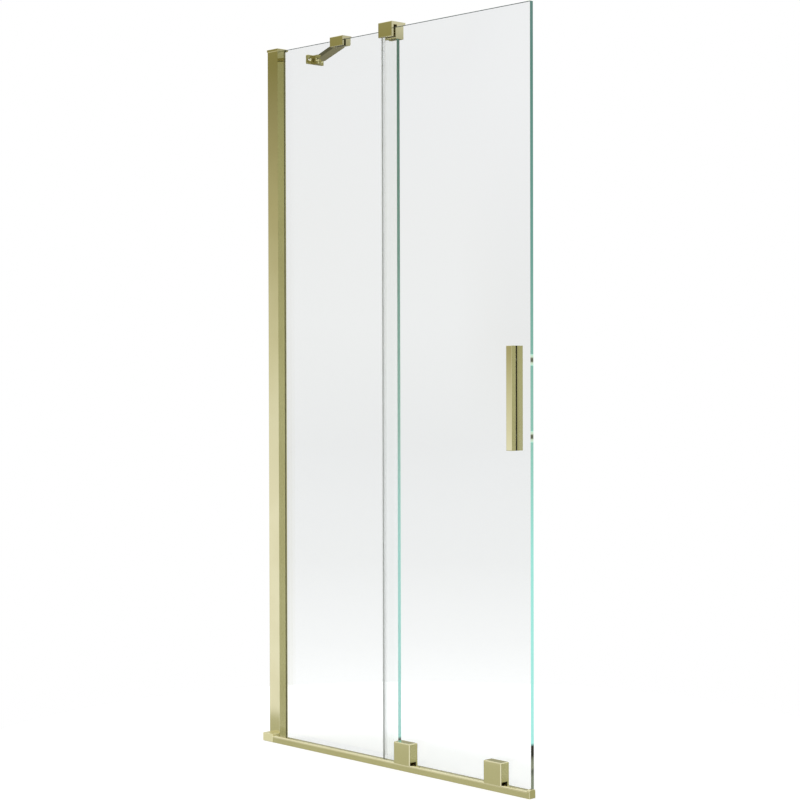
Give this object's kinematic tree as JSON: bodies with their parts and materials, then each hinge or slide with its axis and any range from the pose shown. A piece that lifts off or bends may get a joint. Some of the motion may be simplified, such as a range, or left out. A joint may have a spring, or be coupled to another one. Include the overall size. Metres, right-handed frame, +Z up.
{
  "type": "bath screen",
  "caption": "Frameless bath screen: a fixed glass pane on a gold wall post, and a second pane with a bar handle that rolls on a low rail in front of it.",
  "frame": {"origin": "centre of the outer box's footprint, at the height of the bath rim that the rail and the post stand on", "axes": "+Z up; +X from the wall towards the free end; +Y into the bath, so -Y is the side seen in the picture"},
  "size_m": [0.79, 0.181, 1.5123],
  "materials": {
    "gold_aluminium": "polished pale gold, anodised",
    "gold_brass": "polished pale gold plate",
    "gold_screw": "pale gold plated steel",
    "clear_glass": "clear toughened, polished edges",
    "clear_seal": "clear soft plastic",
    "bronze_rubber": "dark bronze, matt",
    "bronze_nylon": "dark bronze, moulded",
    "black_rubber": "matt",
    "black_nylon": "moulded",
    "clear_plastic": "clear moulded",
    "white_nylon": "moulded",
    "mill_aluminium": "mill",
    "bare_steel": "stainless"
  },
  "bodies": {
    "screen": {"post_profile": "gold_aluminium", "rail": "gold_aluminium", "post_cap": "gold_brass", "rail_bracket": "gold_brass", "rail_end_cap": "gold_brass", "guide_cover": "gold_brass", "guide_fork": "gold_brass", "glass_clamp": "gold_brass", "cover_screws": "gold_screw", "clamp_pivot_pin": "gold_screw", "fixed_glass": "clear_glass", "front_glazing_gasket": "bronze_rubber", "rear_glazing_gasket": "bronze_rubber", "guide_liner": "bronze_nylon", "setting_strip": "black_rubber", "fork_pads": "black_rubber", "clamp_pads": "black_rubber", "post_foot": "black_nylon", "wall_channel": "mill_aluminium", "post_screws": "bare_steel", "rail_grub_screws": "bare_steel", "guide_grub_screws": "bare_steel", "stop_screw": "bare_steel", "clamp_grub_screws": "bare_steel"},
    "panel": {"sliding_glass": "clear_glass", "edge_seal": "clear_seal", "stop_block": "clear_plastic", "front_handle": "gold_brass", "back_handle": "gold_brass", "handle_screws": "gold_screw", "handle_washers": "clear_plastic", "handle_bushes": "clear_plastic", "left_carriage_housing": "gold_brass", "right_carriage_housing": "gold_brass", "left_bearing_inner_ring": "bare_steel", "right_bearing_inner_ring": "bare_steel", "left_bearing_balls": "bare_steel", "right_bearing_balls": "bare_steel", "left_roller_axle": "bare_steel", "right_roller_axle": "bare_steel", "left_clamp_disc": "gold_brass", "right_clamp_disc": "gold_brass", "axle_spacers": "bare_steel", "carriage_pads": "clear_plastic", "disc_pads": "clear_plastic", "clamp_bushes": "clear_plastic", "clamp_bolts": "gold_screw", "guide_shoes": "black_nylon"},
    "left_roller": {"left_roller_tyre": "white_nylon", "left_bearing_outer_ring": "bare_steel"},
    "right_roller": {"right_roller_tyre": "white_nylon", "right_bearing_outer_ring": "bare_steel"},
    "arm": {"arm_bar": "gold_brass"},
    "flange": {"wall_flange": "gold_brass", "wall_pivot_pin": "gold_screw"}
  },
  "joints": [
    {"name": "panel_slide", "type": "slide", "parent": "screen", "child": "panel", "axis": [1, 0, 0], "range_m": [-0.32, 0]},
    {"name": "left_roller_spin", "type": "hinge", "parent": "panel", "child": "left_roller", "pos_m": [0.045, -0.08225, 0.0275], "axis": [0, 1, 0], "continuous": true},
    {"name": "right_roller_spin", "type": "hinge", "parent": "panel", "child": "right_roller", "pos_m": [0.2975, -0.08225, 0.0275], "axis": [0, 1, 0], "continuous": true},
    {"name": "arm_swing", "type": "hinge", "parent": "screen", "child": "arm", "pos_m": [-0.184, -0.0365, 1.49425], "axis": [0, 0, 1], "range_deg": [-30, 12]},
    {"name": "flange_swivel", "type": "hinge", "parent": "arm", "child": "flange", "pos_m": [-0.38, 0.0665, 1.49425], "axis": [0, 0, 1], "range_deg": [-30, 30]}
  ],
  "couplings": [
    {"joint": "left_roller_spin", "follows": "panel_slide", "rad_per_m": 78.74},
    {"joint": "right_roller_spin", "follows": "panel_slide", "rad_per_m": 78.74}
  ]
}
